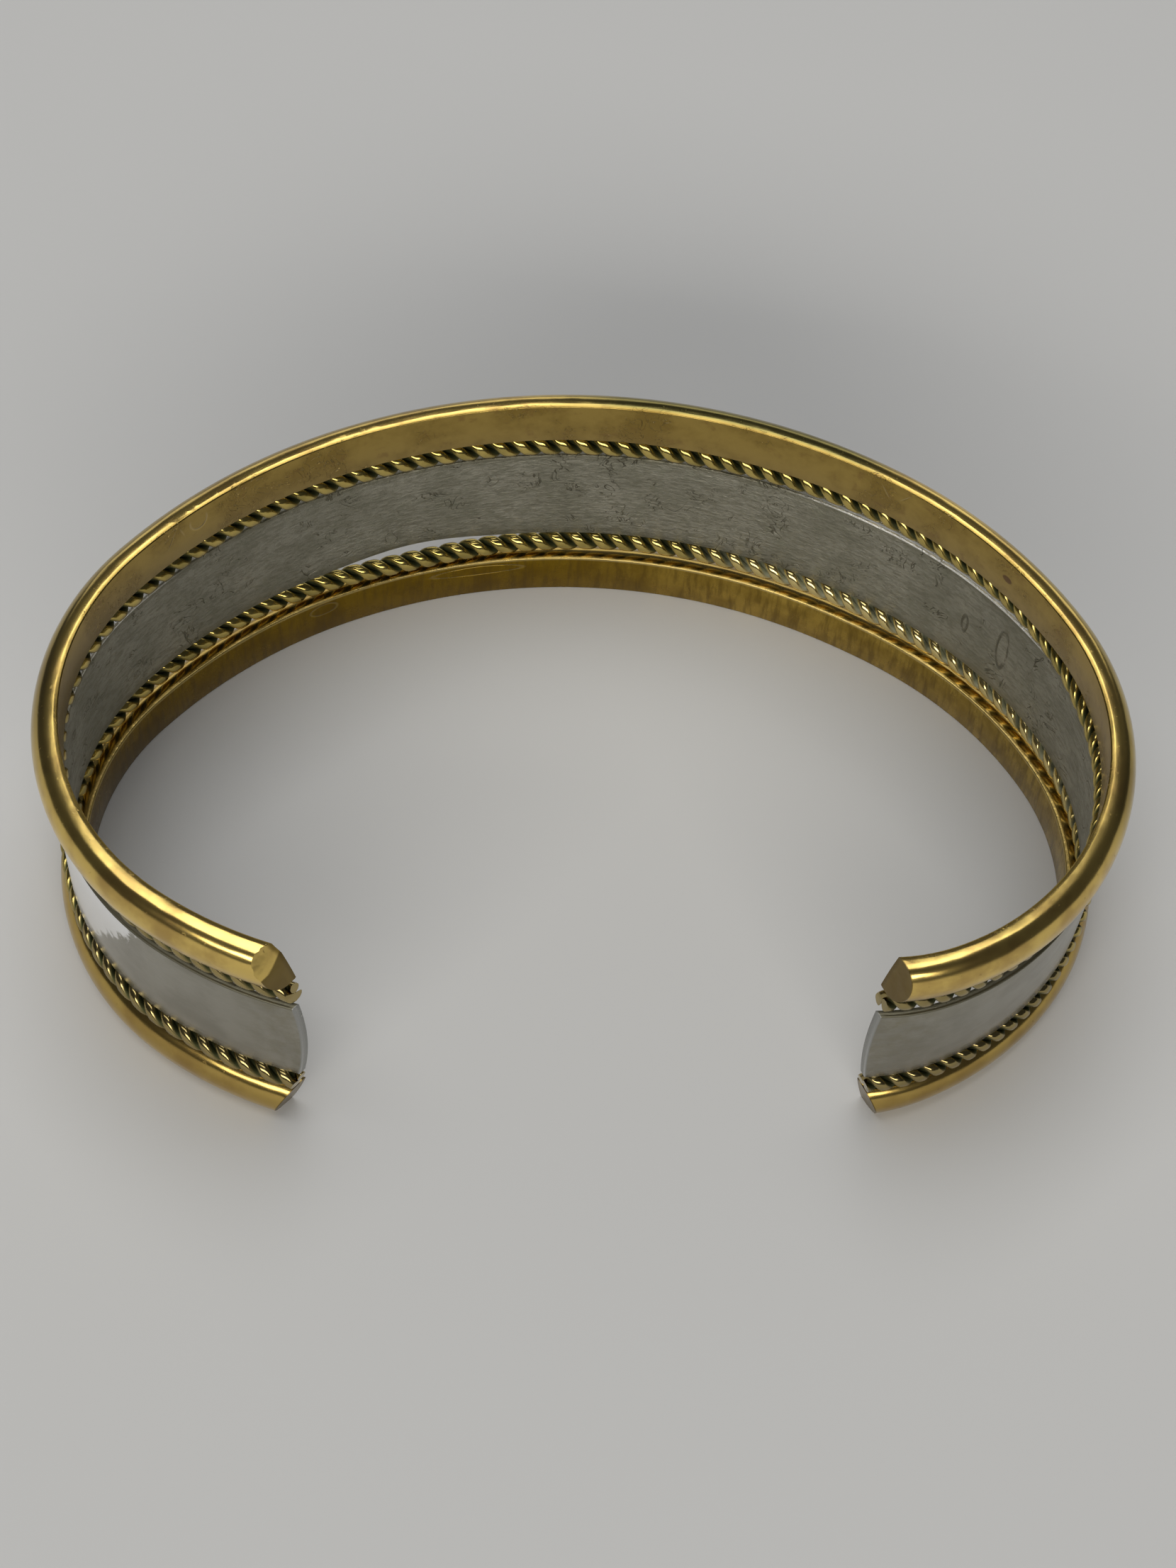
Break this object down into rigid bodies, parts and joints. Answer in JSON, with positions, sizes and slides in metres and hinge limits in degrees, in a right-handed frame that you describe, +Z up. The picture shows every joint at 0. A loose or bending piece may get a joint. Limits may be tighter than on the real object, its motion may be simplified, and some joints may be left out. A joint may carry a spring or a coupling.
{
  "type": "cuff bracelet",
  "caption": "Open oval cuff bracelet of a flat silver band between twisted brass ropes and half-round brass rails.",
  "frame": {"origin": "on the floor, under the middle of the bounding box of the cuff lying on its lower edge", "axes": "+X along the width, +Y from the front opening to the middle of the back, +Z up along the width of the strips"},
  "size_m": [0.062, 0.0406, 0.0187],
  "materials": {
    "rail_brass": "worn satin with fine scratches",
    "rope_brass": "bright crowns, green verdigris in the grooves",
    "band_silver": "dull and scratched inside, polished outside"
  },
  "bodies": {
    "root": {"lower_rail": "rail_brass", "lower_rope": "rope_brass", "silver_band": "band_silver", "upper_rope": "rope_brass", "upper_rail": "rail_brass"}
  },
  "joints": []
}
